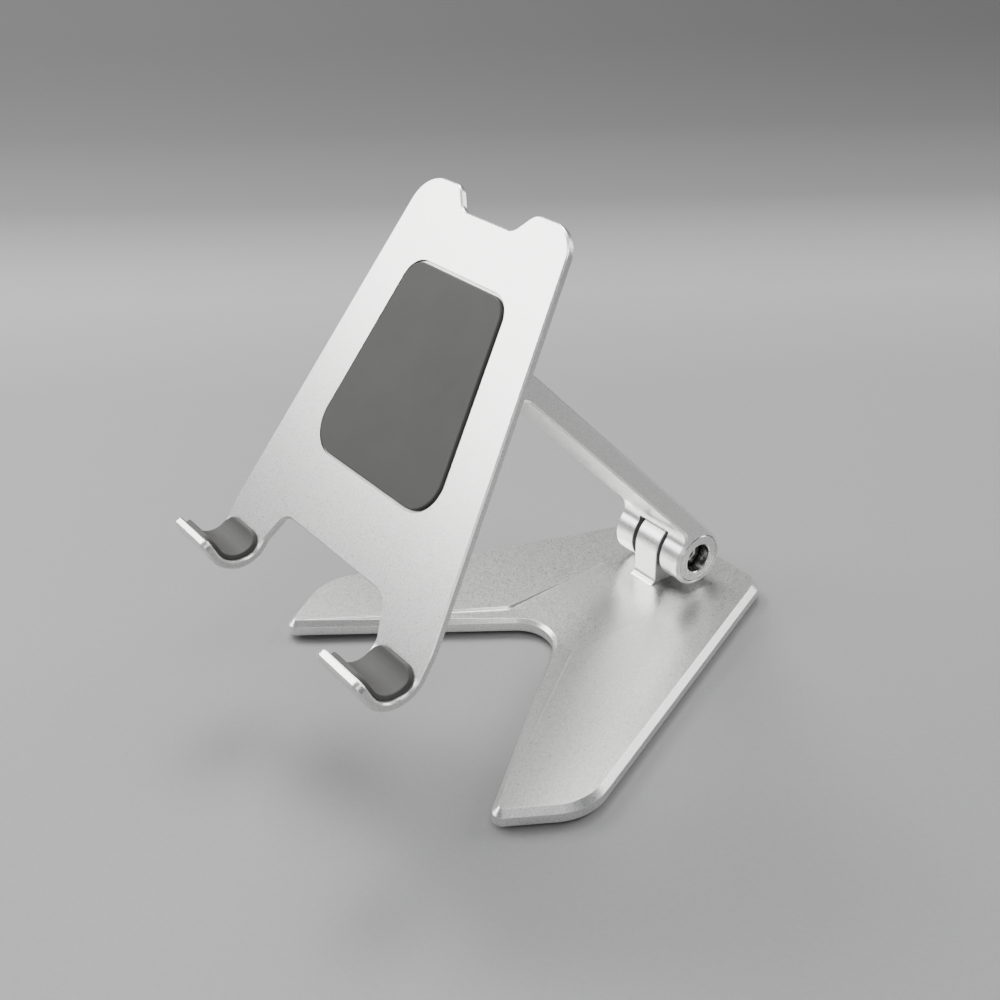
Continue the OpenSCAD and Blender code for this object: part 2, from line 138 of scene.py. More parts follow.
def outline(corners, radii, inset=0.0, steps=ARC_STEPS):
    """Anticlockwise outline with rounded corners, moved inwards; a corner of radius 0 stays sharp."""
    pts = [Vector(c) for c in corners]
    count = len(pts)
    moved = []
    for i, b in enumerate(pts):
        m, n = unit(b - pts[i - 1]), unit(pts[(i + 1) % count] - b)
        m, n = Vector((-m.y, m.x)), Vector((-n.y, n.x))
        moved.append(b + inset * (m + n) / (1 + m.dot(n)))
    out = []
    for i, b in enumerate(pts):
        if radii[i] == 0:
            out.append(moved[i])
            continue
        e, f = b - pts[i - 1], pts[(i + 1) % count] - b
        side = 1 if e.x * f.y - e.y * f.x > 0 else -1
        radius = max(radii[i] - side * inset, LEAST_ROUND)
        out += round_corner(moved[i - 1], moved[i], moved[(i + 1) % count], radius, steps)
    return out


def mirrored(half):
    return list(half) + [(-x, y) for x, y in reversed(half)]


def doubled(half):
    return list(half) + list(reversed(half))


def quarter_round(r, steps=4):
    """(inset, drop) pairs of a rounded edge, from its side up to its top."""
    return [
        (r * (1 - math.cos(a)), r * (1 - math.sin(a)))
        for a in (math.pi / 2 * k / steps for k in range(steps + 1))
    ]


# ---------------------------------------------------------------- frames


def identity(p):
    return Vector(p)


def arm_point(p):
    """(x, s, k): s runs up the arm and k points to its underside."""
    x, s, k = p
    c, d = math.cos(ARM_ANGLE), math.sin(ARM_ANGLE)
    return Vector((x, -s * c - k * d, HINGE_Z + s * d - k * c))


UPPER = arm_point((0, ARM_LEN, 0))


def cradle_point(p):
    """(x, w, n): w runs up the sheet and n points to its front."""
    x, w, n = p
    c, d = math.cos(RECLINE), math.sin(RECLINE)
    return Vector((x, UPPER.y + w * d - n * c, UPPER.z + w * c + n * d))


def lower_point(p):
    return Vector((p[0], p[1], p[2] + HINGE_Z))


def upper_point(p):
    return Vector((p[0], p[1] + UPPER.y, p[2] + UPPER.z))


def bent_point(p):
    """(x, w, h) of the unrolled sheet, h in front of its face, carried round the hooks' bend."""
    x, w, h = p
    run = BEND_W - w
    if run <= 0:
        return cradle_point((x, w, FACE_REACH + h))
    angle = BEND_ANGLE * min(1.0, run / BEND_RUN)
    past = max(0.0, run - BEND_RUN)
    r = HOOK_R - h
    return cradle_point((
        x,
        BEND_W - r * math.sin(angle) - past * math.cos(angle),
        FACE_REACH + HOOK_R - r * math.cos(angle) + past * math.sin(angle),
    ))


# ---------------------------------------------------------------- meshes


def make(name, points, faces, place=identity):
    mesh = bpy.data.meshes.new(name)
    mesh.from_pydata([place(p) * MM for p in points], [], faces)
    mesh.validate()
    work = bmesh.new()
    work.from_mesh(mesh)
    bmesh.ops.remove_doubles(work, verts=work.verts, dist=1e-7)
    bmesh.ops.recalc_face_normals(work, faces=work.faces)
    work.to_mesh(mesh)
    work.free()
    obj = bpy.data.objects.new(name, mesh)
    bpy.context.scene.collection.objects.link(obj)
    return obj


def skin(name, rings, place=identity, caps=None, looped=False):
    """Skins a stack of rings with equal point counts. Caps are the end faces, as ring point numbers."""
    n, m = len(rings[0]), len(rings)
    points = [p for ring in rings for p in ring]
    faces = [
        (k * n + i, k * n + (i + 1) % n, (k + 1) % m * n + (i + 1) % n, (k + 1) % m * n + i)
        for k in range(m if looped else m - 1)
        for i in range(n)
    ]
    if not looped:
        for cap in caps or [list(range(n))]:
            faces.append(tuple(reversed(cap)))
            faces.append(tuple((m - 1) * n + i for i in cap))
    return make(name, points, faces, place)


def slab(name, corners, radii, levels, place=identity, steps=ARC_STEPS):
    """levels are (inset, height) pairs, lowest first."""
    rings = [[(p.x, p.y, z) for p in outline(corners, radii, d, steps)] for d, z in levels]
    return skin(name, rings, place)


def stretched(profile, half, chamfer):
    """Rings of a closed profile that runs along X from -half to half, with chamfered ends."""
    ends = ((-half, chamfer), (chamfer - half, 0), (half - chamfer, 0), (half, chamfer))
    return [[(x, p.x, p.y) for p in profile(d)] for x, d in ends]


def circle(x, r, count=ROUND_POINTS):
    turns = (2 * math.pi * i / count for i in range(count))
    return [(x, r * math.cos(a), r * math.sin(a)) for a in turns]


def hexagon(x, flats, count=ROUND_POINTS):
    """A hexagonal ring with as many points as a circle."""
    ring = []
    for i in range(count):
        a = 2 * math.pi * i / count
        r = flats / 2 / math.cos((a + math.pi / 6) % (math.pi / 3) - math.pi / 6)
        ring.append((x, r * math.cos(a), r * math.sin(a)))
    return ring


def turned(name, profile, place, looped=False, side=1):
    """A part turned about X from (x, r) pairs; a looped profile makes a ring."""
    return skin(name, [circle(side * x, r) for x, r in profile], place, looped=looped)


def cut(obj, tools, operation="DIFFERENCE"):
    """Boolean of obj with the tool objects, which are used up."""
    for tool in tools:
        mod = obj.modifiers.new("cut", "BOOLEAN")
        mod.operation, mod.solver, mod.object = operation, "EXACT", tool
        bpy.context.view_layer.update()
        done = bpy.data.meshes.new_from_object(obj.evaluated_get(bpy.context.evaluated_depsgraph_get()))
        obj.modifiers.clear()
        old, obj.data = obj.data, done
        done.name = obj.name
        bpy.data.meshes.remove(old)
        bpy.data.objects.remove(tool)
    work = bmesh.new()
    work.from_mesh(obj.data)
    bmesh.ops.remove_doubles(work, verts=work.verts, dist=2e-6)
    bmesh.ops.dissolve_degenerate(work, edges=work.edges, dist=1e-6)
    work.to_mesh(obj.data)
    work.free()
    return obj


def box(name, low, high, place=identity):
    pts = [(x, y, z) for z in (low[2], high[2]) for y in (low[1], high[1]) for x in (low[0], high[0])]
    rings = [[pts[0], pts[1], pts[3], pts[2]], [pts[4], pts[5], pts[7], pts[6]]]
    return skin(name, rings, place)


def finish_piece(obj, body, material, nodes=(), angle=24):
    """Shading, finish and ride of a finished mesh."""
    obj.data.materials.clear()
    obj.data.materials.append(material)
    for poly in obj.data.polygons:
        poly.use_smooth = True
        poly.material_index = 0
    obj.data.set_sharp_from_angle(angle=math.radians(angle))
    mod = obj.modifiers.new("normals", "WEIGHTED_NORMAL")
    mod.keep_sharp, mod.weight = True, 100
    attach(obj, body)
    if nodes:
        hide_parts(*nodes)
    return obj


# ---------------------------------------------------------------- materials


def nodes_of(name):
    mat = bpy.data.materials.new(name)
    mat.use_nodes = True
    tree = mat.node_tree
    return mat, tree, tree.nodes["Principled BSDF"]


def add(tree, kind, inputs=(), **settings):
    node = tree.nodes.new(kind)
    for key, value in settings.items():
        setattr(node, key, value)
    for key, value in dict(inputs).items():
        if isinstance(value, bpy.types.NodeSocket):
            tree.links.new(value, node.inputs[key])
        else:
            node.inputs[key].default_value = value
    return node


def noise(tree, scale, detail=2.0, rough=0.5, vector=None):
    where = vector or add(tree, "ShaderNodeTexCoord").outputs["Object"]
    return add(tree, "ShaderNodeTexNoise", {
        "Vector": where, "Scale": scale, "Detail": detail, "Roughness": rough,
    }).outputs["Fac"]


def spread(tree, value, low, high, start=0.3, end=0.7):
    """Maps a noise value on to the range low to high."""
    return add(tree, "ShaderNodeMapRange", {
        "Value": value, "From Min": start, "From Max": end, "To Min": low, "To Max": high,
    }).outputs["Result"]


def mixed(tree, factor, one, two, how="MIX"):
    """Mixes two colours; each is a triple or another node's output."""
    one, two = (c if isinstance(c, bpy.types.NodeSocket) else (*c, 1) for c in (one, two))
    return add(
        tree, "ShaderNodeMix", {"Factor": factor, "A": one, "B": two}, data_type="RGBA", blend_type=how,
    ).outputs["Result"]


def scaled(colour, factor, offset=0.0):
    return [min(1, c * factor + offset) for c in colour]


def smooth_normal(tree, radius):
    """The surface's normal, rounded over at the edges."""
    return add(tree, "ShaderNodeBevel", {"Radius": radius}, samples=6).outputs["Normal"]


def bumped(tree, height, strength, distance, normal=None):
    inputs = {"Strength": strength, "Distance": distance, "Height": height}
    if normal:
        inputs["Normal"] = normal
    return add(tree, "ShaderNodeBump", inputs).outputs["Normal"]


def edge_mask(tree, radius, start=0.02, end=0.25):
    """1 along edges sharper than the radius, 0 on open faces."""
    rounded = smooth_normal(tree, radius)
    flat = add(tree, "ShaderNodeNewGeometry").outputs["Normal"]
    dot = add(tree, "ShaderNodeVectorMath", {0: rounded, 1: flat}, operation="DOT_PRODUCT").outputs["Value"]
    turn = add(tree, "ShaderNodeMath", {0: 1.0, 1: dot}, operation="SUBTRACT").outputs[0]
    return spread(tree, turn, 0.0, 1.0, start, end)


def shaded(tree, colour, distance, dark):
    """Colour darkened by painted shade in hollows and gaps narrower than the distance."""
    open_sky = add(tree, "ShaderNodeAmbientOcclusion", {"Distance": distance}, samples=6).outputs["AO"]
    painted_shade_amount = spread(tree, open_sky, low=1.0, high=0.0, start=0.1, end=0.9)
    return mixed(tree, painted_shade_amount, colour, (dark, dark, dark), "MULTIPLY")


def anodised(name, base, grain=0.11, edge=0.0003, edge_metal=0.6):
    """Bead-blasted, clear-anodised aluminium: fine matt grain, cut edges painted bright as a painted
    highlight, and painted shade in hollows.
    """
    mat, tree, shader = nodes_of(name)
    fine = noise(tree, scale=2900, detail=2, rough=0.7)
    speck = noise(tree, scale=7000, detail=1, rough=0.5)
    cloud = noise(tree, scale=55, detail=3, rough=0.55)
    sparkle = spread(tree, fine, low=0, high=1, start=0.38, end=0.62)
    body = mixed(tree, sparkle, scaled(base, 0.88), scaled(base, 1.08))
    tint = mixed(tree, spread(tree, cloud, low=0.0, high=0.35), body, (0.93, 0.93, 0.94), "MULTIPLY")
    edges = edge_mask(tree, edge)
    # Painted highlight: edges are painted brighter and made less metallic, so they read as bevels catching
    # the light
    edge_lift = mixed(tree, edges, tint, scaled(base, 1.4))
    metal = spread(tree, edges, low=0.95, high=edge_metal, start=0.0, end=1.0)
    rough = spread(tree, fine, low=0.27, high=0.37)
    one = bumped(tree, fine, grain, distance=0.00006, normal=smooth_normal(tree, 0.00012))
    two = bumped(tree, speck, grain * 0.6, distance=0.00003, normal=one)
    # Painted shade in hollows, recesses and gaps between parts
    tree.links.new(shaded(tree, edge_lift, distance=0.0009, dark=0.25), shader.inputs["Base Color"])
    tree.links.new(metal, shader.inputs["Metallic"])
    tree.links.new(rough, shader.inputs["Roughness"])
    tree.links.new(two, shader.inputs["Normal"])
    return mat


def turned_metal(name, base, rough=0.24, rings=9000, centre=(0, 0), highlight_ring=None):
    """A lathe-turned face: fine circular tool marks about an axis along X, maybe one ring of painted
    highlight, and painted shade in hollows.

    The centre is the axis's (y, z) and the ring its inner and outer radius, all in mm.
    """
    mat, tree, shader = nodes_of(name)
    where = add(tree, "ShaderNodeTexCoord").outputs["Object"]
    parts = add(tree, "ShaderNodeSeparateXYZ", {"Vector": where}).outputs
    flat = add(tree, "ShaderNodeCombineXYZ", {"X": 0.0, "Y": parts["Y"], "Z": parts["Z"]}).outputs["Vector"]
    axis = (0, centre[0] * MM, centre[1] * MM)
    reach = add(tree, "ShaderNodeVectorMath", {0: flat, 1: axis}, operation="DISTANCE").outputs["Value"]
    line = add(tree, "ShaderNodeCombineXYZ", {"X": reach}).outputs["Vector"]
    marks = noise(tree, scale=rings, detail=2, rough=0.7, vector=line)
    wear = noise(tree, scale=900, detail=3, rough=0.6)
    cuts = spread(tree, marks, low=0, high=1, start=0.35, end=0.65)
    tone = mixed(tree, cuts, scaled(base, 0.9), scaled(base, 1.06))
    # Painted highlight: a light ring round the socket's mouth, as a chamfer catching the light
    if highlight_ring:
        inner, outer = (r * MM for r in highlight_ring)
        soft = 0.1 * MM
        start = spread(tree, reach, 0.0, 1.0, inner - soft, inner + soft)
        end = spread(tree, reach, 1.0, 0.0, outer - soft, outer + soft)
        ring = add(tree, "ShaderNodeMath", {0: start, 1: end}, operation="MULTIPLY").outputs[0]
        tone = mixed(tree, ring, tone, (0.85, 0.84, 0.82))
    normal = bumped(tree, marks, 0.12, distance=0.00003, normal=smooth_normal(tree, 0.00008))
    # Painted shade: deep hollows such as the cap's hole are darkened nearly to black
    tree.links.new(shaded(tree, tone, distance=0.003, dark=0.02), shader.inputs["Base Color"])
    shader.inputs["Metallic"].default_value = 1.0
    tree.links.new(spread(tree, wear, rough * 0.85, rough * 1.3), shader.inputs["Roughness"])
    tree.links.new(normal, shader.inputs["Normal"])
    return mat


def moulded(name, low, high, rough=0.6, grain=4200, strength=0.15, specular=0.4):
    """Silicone, rubber or plastic with a fine moulded grain and a little dust."""
    mat, tree, shader = nodes_of(name)
    fine = noise(tree, scale=grain, detail=2, rough=0.6)
    cloud = noise(tree, scale=90, detail=3, rough=0.6)
    dust = noise(tree, scale=1500, detail=4, rough=0.7)
    base = mixed(tree, spread(tree, cloud, 0, 1), low, high)
    dusty = spread(tree, dust, low=0.0, high=0.35, start=0.66, end=0.8)
    tone = mixed(tree, dusty, base, scaled(high, 1.8, offset=0.02))
    tree.links.new(tone, shader.inputs["Base Color"])
    tree.links.new(spread(tree, fine, rough * 0.9, rough * 1.1), shader.inputs["Roughness"])
    shader.inputs["Specular IOR Level"].default_value = specular
    tree.links.new(bumped(tree, fine, strength, distance=0.00005), shader.inputs["Normal"])
    return mat


alu_base = anodised("anodised_base", (0.82, 0.82, 0.80))
# The arm's edges get a wider painted highlight, less metallic so it reads whiter
alu_arm = anodised("anodised_arm", (0.80, 0.80, 0.785), edge=0.0005, edge_metal=0.15)
alu_cradle = anodised("anodised_cradle", (0.82, 0.82, 0.80))
CAP_TONE, STEEL_TONE = (0.80, 0.80, 0.79), (0.07, 0.066, 0.06)
LOWER_AXIS, UPPER_AXIS = (0, HINGE_Z), (UPPER.y, UPPER.z)
# Inner and outer radius of the painted highlight round the screw sockets
SOCKET_HIGHLIGHT = (SOCKET_AF / 2 + 0.1, SOCKET_AF / 2 + 0.6)
cap_low = turned_metal("turned_cap_lower", CAP_TONE, centre=LOWER_AXIS)
cap_high = turned_metal("turned_cap_upper", CAP_TONE, centre=UPPER_AXIS)
steel_low = turned_metal(
    "screw_steel_lower", STEEL_TONE, rough=0.3, centre=LOWER_AXIS, highlight_ring=SOCKET_HIGHLIGHT,
)
steel_high = turned_metal(
    "screw_steel_upper", STEEL_TONE, rough=0.3, centre=UPPER_AXIS, highlight_ring=SOCKET_HIGHLIGHT,
)
silicone = moulded("grey_silicone", (0.073, 0.072, 0.070), (0.081, 0.080, 0.078), rough=0.6, specular=0.22)
acetal = moulded("bearing_plastic", (0.06, 0.06, 0.062), (0.075, 0.075, 0.078), rough=0.45)
rubber = moulded("foot_rubber", (0.022, 0.022, 0.022), (0.03, 0.03, 0.03), rough=0.8)

# ---------------------------------------------------------------- base


def recess_depth(y):
    reach = -y
    if reach <= RECESS_START or reach >= -RECESS_END[1]:
        return 0.0
    if reach < RECESS_DEEPEST:
        return RECESS_DEPTH * (reach - RECESS_START) / (RECESS_DEEPEST - RECESS_START)
    return RECESS_DEPTH * (-RECESS_END[1] - reach) / (-RECESS_END[1] - RECESS_DEEPEST)


def recess_cutter():
    """Trough with sides sloping at 45 degrees, along the line of the recess."""
    a, b, c = Vector((RECESS_HALF, -RECESS_START)), Vector((RECESS_HALF, -RECESS_BEND)), Vector(RECESS_END)
    bend = round_corner(a, b, c, RECESS_ROUND, RECESS_STEPS)
    path = [a + (bend[0] - a) * t / RECESS_NEAR_STEPS for t in range(RECESS_NEAR_STEPS)] + bend
    path += [
        bend[-1] + (c - bend[-1]) * t / RECESS_FAR_STEPS for t in range(1, RECESS_FAR_STEPS + 1)
    ]
    over = 0.6
    rings = []
    for i, p in enumerate(path):
        along = unit(path[min(i + 1, len(path) - 1)] - path[max(i - 1, 0)])
        out = Vector((-along.y, along.x))
        deep = recess_depth(p.y)
        top = p + out * (deep + over)
        rings.append([
            (-top.x, top.y, BASE_TOP + over), (-p.x, p.y, BASE_TOP - deep),
            (p.x, p.y, BASE_TOP - deep), (top.x, top.y, BASE_TOP + over),
        ])
    return skin("recess", rings)


def base_lug_profile(d):
    """In the (y, z) plane: a barrel on a root that flares into the plate's top."""
    foot = BASE_TOP + LUG_FILLET
    r, f, quarter = BARREL_R - d, LUG_FILLET + d, math.pi / 2
    side = BARREL_R + LUG_FILLET
    root = BASE_TOP - OVERSHOOT
    return (
        arc((0, HINGE_Z), r, 0, math.pi, LUG_STEPS)
        + arc((-side, foot), f, 0, -quarter, LUG_FILLET_STEPS)
        + [Vector((-side, root)), Vector((side, root))]
        + arc((side, foot), f, -quarter, -quarter, LUG_FILLET_STEPS)
    )


def bore(name, r, x0, x1, place):
    return turned(name, [(x0, r), (x1, r)], place)


def lug_bore(place):
    return bore("lug_bore", BUSH_R, -LUG_HALF - OVERSHOOT, LUG_HALF + OVERSHOOT, place)


base_half = [(TIP_W / 2, -TIP_REACH), (BASE_W / 2, -CORNER_REACH), (REAR_W / 2, REAR_REACH)]
base = slab(
    "base_plate_body",
    [(0, -NOTCH_REACH)] + mirrored(base_half),
    [NOTCH_ROUND] + doubled([TIP_ROUND, CORNER_ROUND, REAR_ROUND]),
    [
        (UNDER_BEVEL, FOOT_GAP), (0, FOOT_GAP + UNDER_BEVEL),
        (0, BASE_TOP - BASE_BEVEL), (BASE_BEVEL, BASE_TOP),
    ],
)
cut(base, [recess_cutter()])
cut(base, [skin("lug", stretched(base_lug_profile, LUG_HALF, SMALL_EDGE))], "UNION")
cut(base, [lug_bore(lower_point)])


def strip_rings(a, b, r, levels):
    """Rings of a strip with round ends at a and b; levels are (inset, height) pairs."""
    a, b = Vector(a), Vector(b)
    turn, quarter = math.atan2(b.y - a.y, b.x - a.x), math.pi / 2
    rings = []
    for inset, z in levels:
        ends = arc(a, r - inset, turn + quarter, math.pi, FOOT_STEPS)
        ends += arc(b, r - inset, turn - quarter, math.pi, FOOT_STEPS)
        rings.append([(p.x, p.y, z) for p in ends])
    return rings


pocket_top = FOOT_GAP + FOOT_SINK
feet = {
    "foot_rear": ((-REAR_FOOT_HALF, 0), (REAR_FOOT_HALF, 0), REAR_FOOT_R),
    "foot_left": ((-FOOT_FROM[0], FOOT_FROM[1]), (-FOOT_TO[0], FOOT_TO[1]), FOOT_R),
    "foot_right": (FOOT_FROM, FOOT_TO, FOOT_R),
}
for name, (a, b, r) in feet.items():
    cut(base, [skin("pocket", strip_rings(a, b, r + FOOT_FIT, [(0, FOOT_GAP / 2), (0, pocket_top)]))])
    edge_lift = FOOT_EDGE * 0.3
    levels = [(FOOT_EDGE, 0.0), (edge_lift, edge_lift), (0, FOOT_EDGE), (0, pocket_top)]
    foot = skin(name + "_pad", strip_rings(a, b, r, levels))
    finish_piece(foot, "base", rubber, [name])
finish_piece(base, "base", alu_base, ["base_plate"])

# ---------------------------------------------------------------- arm


def arm_outline(d):
    """Dog-bone profile in (s, k), moved inwards."""
    under = ARM_T - BARREL_R
    fillet_k = under + ARM_FILLET
    fillet_s = math.sqrt((BARREL_R + ARM_FILLET) ** 2 - fillet_k ** 2)
    lean = math.atan2(fillet_k, fillet_s)
    r, f, quarter = BARREL_R - d, ARM_FILLET + d, math.pi / 2
    return (
        arc((ARM_LEN, 0), r, -quarter, 3 * quarter - lean, ARM_STEPS)
        + arc((ARM_LEN - fillet_s, fillet_k), f, -lean, lean - quarter, ARM_FILLET_STEPS)
        + arc((fillet_s, fillet_k), f, -quarter, lean - quarter, ARM_FILLET_STEPS)
        + arc((0, 0), r, lean, 3 * quarter - lean, ARM_STEPS)
    )


arm = skin("link_arm", stretched(arm_outline, FACE_X, ARM_BEVEL), arm_point)
far = 3 * BARREL_R
cut(arm, [
    box("slot", (-BARREL_IN, -far, -far), (BARREL_IN, SLOT_REACH, far), arm_point),
    box("slot", (-BARREL_IN, ARM_LEN - SLOT_REACH, -far), (BARREL_IN, ARM_LEN + far, far), arm_point),
])
cap_seat = [
    (FACE_X - CAP_DEPTH, CAP_R), (FACE_X - RIM_CHAMFER, CAP_R),
    (FACE_X + RIM_OVER, CAP_R + RIM_CHAMFER + RIM_OVER),
]
for place in (lower_point, upper_point):
    cut(arm, [bore("neck_bore", NECK_R, -FACE_X - OVERSHOOT, FACE_X + OVERSHOOT, place)])
    for side in (-1, 1):
        cut(arm, [turned("cap_bore", cap_seat, place, side=side)])
finish_piece(arm, "arm", alu_arm, ["arm"])

# ---------------------------------------------------------------- hinge hardware


def hinge(level, place, lug_body, cap_finish, steel):
    """One hinge's cap, nut, screw, sleeve, bush and washers; pairs are (x, r)."""
    inner, neck_x = FACE_X - CAP_DEPTH, BARREL_IN + RUNNING
    neck_r, cap_r = NECK_R - PRESS, CAP_R - CAP_FIT
    blank = [(neck_x, neck_r), (inner, neck_r), (inner, cap_r)]
    blank += [(FACE_X - CAP_EDGE, cap_r), (FACE_X, cap_r - CAP_EDGE)]
    hole = [
        (FACE_X, HEAD_HOLE_R + HOLE_EDGE), (FACE_X - HOLE_EDGE, HEAD_HOLE_R),
        (SEAT_X, HEAD_HOLE_R), (SEAT_X, BOLT_HOLE_R), (neck_x, BOLT_HOLE_R),
    ]
    cap = turned(f"{level}_cap_turned", blank + hole, place, looped=True)
    finish_piece(cap, "arm", cap_finish, [f"{level}_cap"])

    dimple = [(FACE_X, DIMPLE_R), (FACE_X - DIMPLE_DEPTH, DIMPLE_END_R)]
    nut = turned(f"{level}_nut_turned", blank + dimple, place, side=-1)
    cut(nut, [bore("thread", BOLT_R + THREAD_FIT, NUT_END_T - FACE_X, OVERSHOOT - BARREL_IN, place)])
    finish_piece(nut, "arm", cap_finish, [f"{level}_nut"])

    tip, head, socket_r = SEAT_X - BOLT_LEN, SEAT_X + HEAD_T, SOCKET_AF / 2
    outside = [(tip, BOLT_R - BOLT_EDGE), (tip + BOLT_EDGE, BOLT_R), (SEAT_X, BOLT_R)]
    outside += [(SEAT_X, HEAD_R - SMALL_EDGE), (SEAT_X + SMALL_EDGE, HEAD_R)]
    outside += [(head - drop, HEAD_R - d) for drop, d in HEAD_RIM]
    outside += [(head - drop, socket_r + d) for drop, d in SOCKET_MOUTH]
    rings = [circle(x, r) for x, r in outside]
    rings += [hexagon(head - depth, SOCKET_AF) for depth in (SOCKET_TOP, SOCKET_DEPTH)]
    screw = skin(f"{level}_socket_screw", rings, place)
    finish_piece(screw, "arm", steel, [f"{level}_screw"])

    sleeve = turned(f"{level}_sleeve_tube", [
        (-SLEEVE_HALF, SLEEVE_R - SMALL_EDGE), (SMALL_EDGE - SLEEVE_HALF, SLEEVE_R),
        (SLEEVE_HALF - SMALL_EDGE, SLEEVE_R), (SLEEVE_HALF, SLEEVE_R - SMALL_EDGE),
        (SLEEVE_HALF, BOLT_HOLE_R), (-SLEEVE_HALF, BOLT_HOLE_R),
    ], place, looped=True)
    finish_piece(sleeve, "arm", steel, [f"{level}_sleeve"])

    bush_r = BUSH_R - PRESS
    bush = turned(f"{level}_bush_ring", [
        (-LUG_HALF, bush_r - BUSH_EDGE), (BUSH_EDGE - LUG_HALF, bush_r),
        (LUG_HALF - BUSH_EDGE, bush_r), (LUG_HALF, bush_r - BUSH_EDGE),
        (LUG_HALF, SLEEVE_R + RUNNING), (-LUG_HALF, SLEEVE_R + RUNNING),
    ], place, looped=True)
    finish_piece(bush, lug_body, acetal, [f"{level}_bush"])

    x0, x1 = LUG_HALF + RUNNING, BARREL_IN - RUNNING
    for side, word in ((-1, "left"), (1, "right")):
        washer = turned(f"{level}_washer_{word}_ring", [
            (x0, WASHER_R - SMALL_EDGE), (x0 + SMALL_EDGE, WASHER_R),
            (x1 - SMALL_EDGE, WASHER_R), (x1, WASHER_R - SMALL_EDGE),
            (x1, WASHER_HOLE_R), (x0, WASHER_HOLE_R),
        ], place, looped=True, side=side)
        finish_piece(washer, "arm", acetal, [f"{level}_washer_{word}"])


hinge("lower", lower_point, "base", cap_low, steel_low)
hinge("upper", upper_point, "cradle", cap_high, steel_high)

# ---------------------------------------------------------------- cradle


def stations(first=0):
    """Places round the bend, as distances w along the unrolled sheet."""
    return [BEND_W - BEND_RUN * k / BEND_STEPS for k in range(first, BEND_STEPS + 1)]


def hook_blank(x0, x1, length, first=0):
    """Unrolled strip round the bend, down its x0 side and up its x1 side."""
    down = stations(first)
    end = BEND_W - BEND_RUN - length
    return [(x0, w) for w in down] + [(x0, end), (x1, end)] + [(x1, w) for w in reversed(down)]


def hook_radii(r, first=0):
    """Radii of hook_blank's points: only the two corners at the lip's end are round."""
    side = [0] * (BEND_STEPS + 1 - first)
    return side + [r, r] + side


def rungs(first, count):
    """Four-sided faces across a strip outlined by count points, from point first on."""
    last = first + count - 1
    return [[first + i, first + i + 1, last - i - 1, last - i] for i in range(count // 2 - 1)]


low_part = [(GAP_TOP_HALF, GAP_TOP_W), (HOOK_IN, GAP_END_W)]
high_part = [
    (HOOK_OUT, TAPER_END_W), (TOP_W / 2, TOP_REACH),
    (DIP_TOP_HALF, TOP_REACH), (DIP_HALF, TOP_REACH - DIP_DEPTH),
]
sheet_half = low_part + hook_blank(HOOK_IN, HOOK_OUT, LIP_LEN) + high_part
sheet_radii = doubled(
    [GAP_ROUND, GAP_END_ROUND] + hook_radii(LIP_ROUND) + [TAPER_ROUND, TOP_ROUND, DIP_ROUND, DIP_ROUND]
)
corner_points = ARC_STEPS + 1
strip_points = 2 * (BEND_STEPS + 1 + corner_points)
right_first = len(low_part) * corner_points
total = 2 * (right_first + strip_points + len(high_part) * corner_points)
left_first = total - right_first - strip_points
inner = {i for first in (right_first, left_first) for i in range(first + 1, first + strip_points - 1)}
# The hooks' ends of the cap are strips of small faces, since the bend curves them
sheet_caps = [[i for i in range(total) if i not in inner]]
sheet_caps += rungs(right_first, strip_points) + rungs(left_first, strip_points)
levels = [(BACK_BEVEL, -SHEET_T), (0, -SHEET_T + BACK_BEVEL), (0, -SHEET_BEVEL), (SHEET_BEVEL, 0)]
sheet = skin(
    "cradle_sheet",
    [[(p.x, p.y, h) for p in outline(mirrored(sheet_half), sheet_radii, d)] for d, h in levels],
    bent_point, sheet_caps,
)
pad_half = [PAD_BOTTOM, PAD_TOP]
pocket_floor = FACE_REACH - PAD_SINK
pocket_levels = [(-PAD_FIT, pocket_floor), (-PAD_FIT, FACE_REACH + OVERSHOOT)]
cut(sheet, [slab("pocket", mirrored(pad_half), doubled(PAD_ROUNDS), pocket_levels, cradle_point)])


def lug_screw_ring(shape, size, w, n):
    """A circle or hexagon across the screw at w, n in front of the upper hinge."""
    return [(y, w + z, n) for _, y, z in shape(0, size, SCREW_POINTS)]


def lug_screw_rings(w, fit=0.0):
    shank, head = LUG_SCREW_R + fit, LUG_SCREW_HEAD_R + fit
    tip = pocket_floor - (SHEET_T - PAD_SINK + LUG_SCREW_DEPTH)
    levels = [(tip, shank), (pocket_floor - (head - shank), shank), (pocket_floor, head)]
    if fit:
        levels.append((pocket_floor + OVERSHOOT, head))
    return [lug_screw_ring(circle, r, w, n) for n, r in levels]


def lug_holes():
    """Tools that cut both screw holes, countersunk into the pocket's floor."""
    return [
        skin("screw_hole", lug_screw_rings(w, LUG_SCREW_FIT), cradle_point)
        for w in (-LUG_SCREW_W, LUG_SCREW_W)
    ]


def cradle_lug_profile(d):
    """In the (w, n) plane: a barrel with a block that reaches the back of the sheet."""
    r, back = BARREL_R - d, FACE_REACH - SHEET_T
    return arc((0, 0), r, -math.pi, math.pi, LUG_STEPS) + [Vector((r, back)), Vector((-r, back))]


cut(sheet, lug_holes())
finish_piece(sheet, "cradle", alu_cradle, ["cradle_plate"])

lug = skin("cradle_lug_block", stretched(cradle_lug_profile, LUG_HALF, SMALL_EDGE), cradle_point)
cut(lug, [lug_bore(upper_point)] + lug_holes())
finish_piece(lug, "cradle", alu_cradle, ["cradle_lug"])

